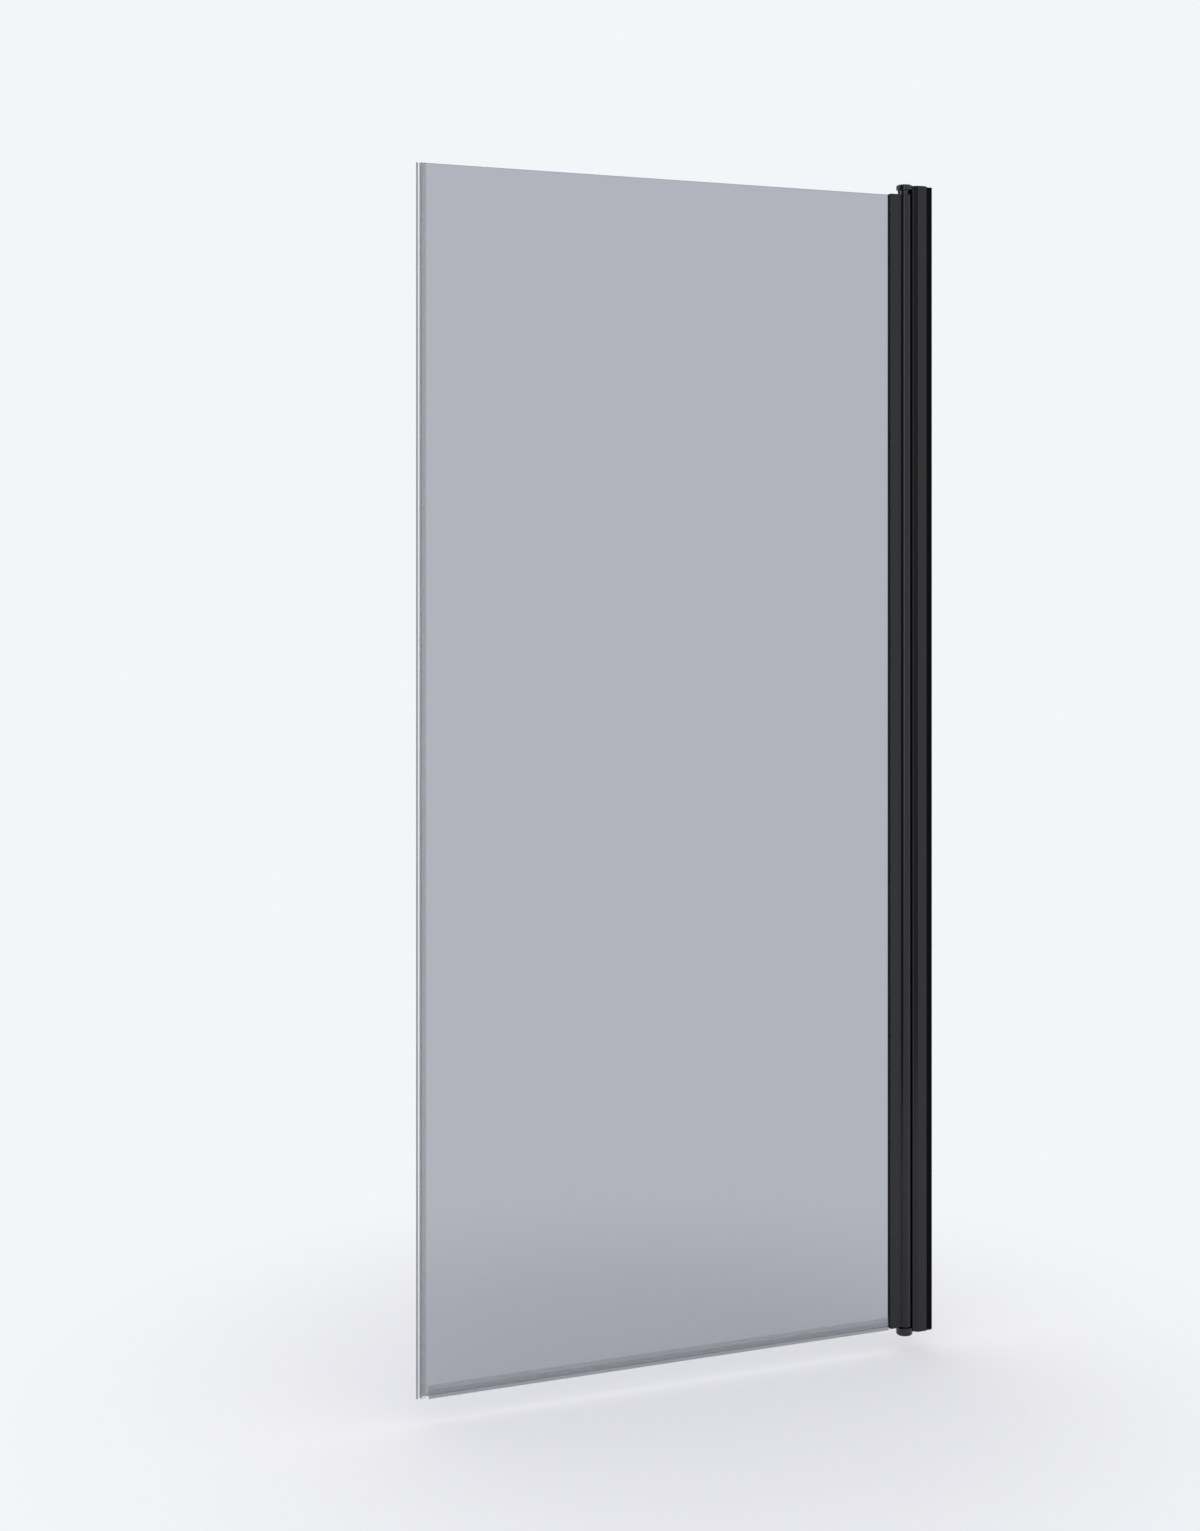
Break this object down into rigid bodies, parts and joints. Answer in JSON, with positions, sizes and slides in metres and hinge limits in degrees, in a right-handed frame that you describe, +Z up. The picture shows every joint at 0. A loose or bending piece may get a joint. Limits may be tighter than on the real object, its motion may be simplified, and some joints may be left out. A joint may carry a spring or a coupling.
{
  "type": "shower door",
  "caption": "Wall-hung pivot shower door: smoked glass pane clamped in a slim black profile that turns and rises on a telescoping wall post.",
  "frame": {"origin": "centre of the wall channel's back face, at its lower end", "axes": "+X into the wall, so the closed door reaches to -X; -Y is the outside, the side seen in the picture; +Z up"},
  "size_m": [0.895, 0.0295, 1.906],
  "materials": {
    "black_aluminium": "satin powder coat",
    "black_plastic": "moulded, half gloss",
    "black_rubber": "extruded, dull",
    "black_steel": "black coated screws",
    "stainless_steel": "turned, plain",
    "natural_acetal": "moulded, slippery",
    "mill_aluminium": "mill",
    "smoked_glass": "polished, grey tint",
    "clear_vinyl": "clear extrusion"
  },
  "bodies": {
    "wall_side": {"wall_channel": "black_aluminium", "hinge_post": "black_aluminium", "lock_screws": "stainless_steel", "screw_covers": "black_plastic", "post_seal": "black_rubber", "top_cap": "black_plastic", "bottom_cap": "black_plastic", "top_cap_screws": "black_steel", "bottom_cap_screws": "black_steel", "top_bush": "natural_acetal", "bottom_pin": "stainless_steel", "fixed_cam": "black_plastic"},
    "spindle": {"top_spindle": "stainless_steel", "spindle_clip": "stainless_steel"},
    "door_leaf": {"leaf_profile": "black_aluminium", "glass_pane": "smoked_glass", "front_gasket": "black_rubber", "back_gasket": "black_rubber", "clamp_strip": "mill_aluminium", "clamp_screws": "stainless_steel", "edge_packers": "natural_acetal", "leaf_top_cover": "black_plastic", "leaf_bottom_cover": "black_plastic", "leaf_guide": "natural_acetal", "follower_cam": "black_plastic", "edge_seal": "clear_vinyl", "bottom_seal": "clear_vinyl"}
  },
  "joints": [
    {"name": "swing", "type": "hinge", "parent": "wall_side", "child": "spindle", "pos_m": [-0.04655, 0, 0], "axis": [0, 0, 1], "range_deg": [0, 90]},
    {"name": "lift", "type": "slide", "parent": "spindle", "child": "door_leaf", "axis": [0, 0, 1], "range_m": [0, 0.006]}
  ],
  "couplings": [
    {"joint": "lift", "follows": "swing", "m_per_rad": 0.0038197}
  ]
}
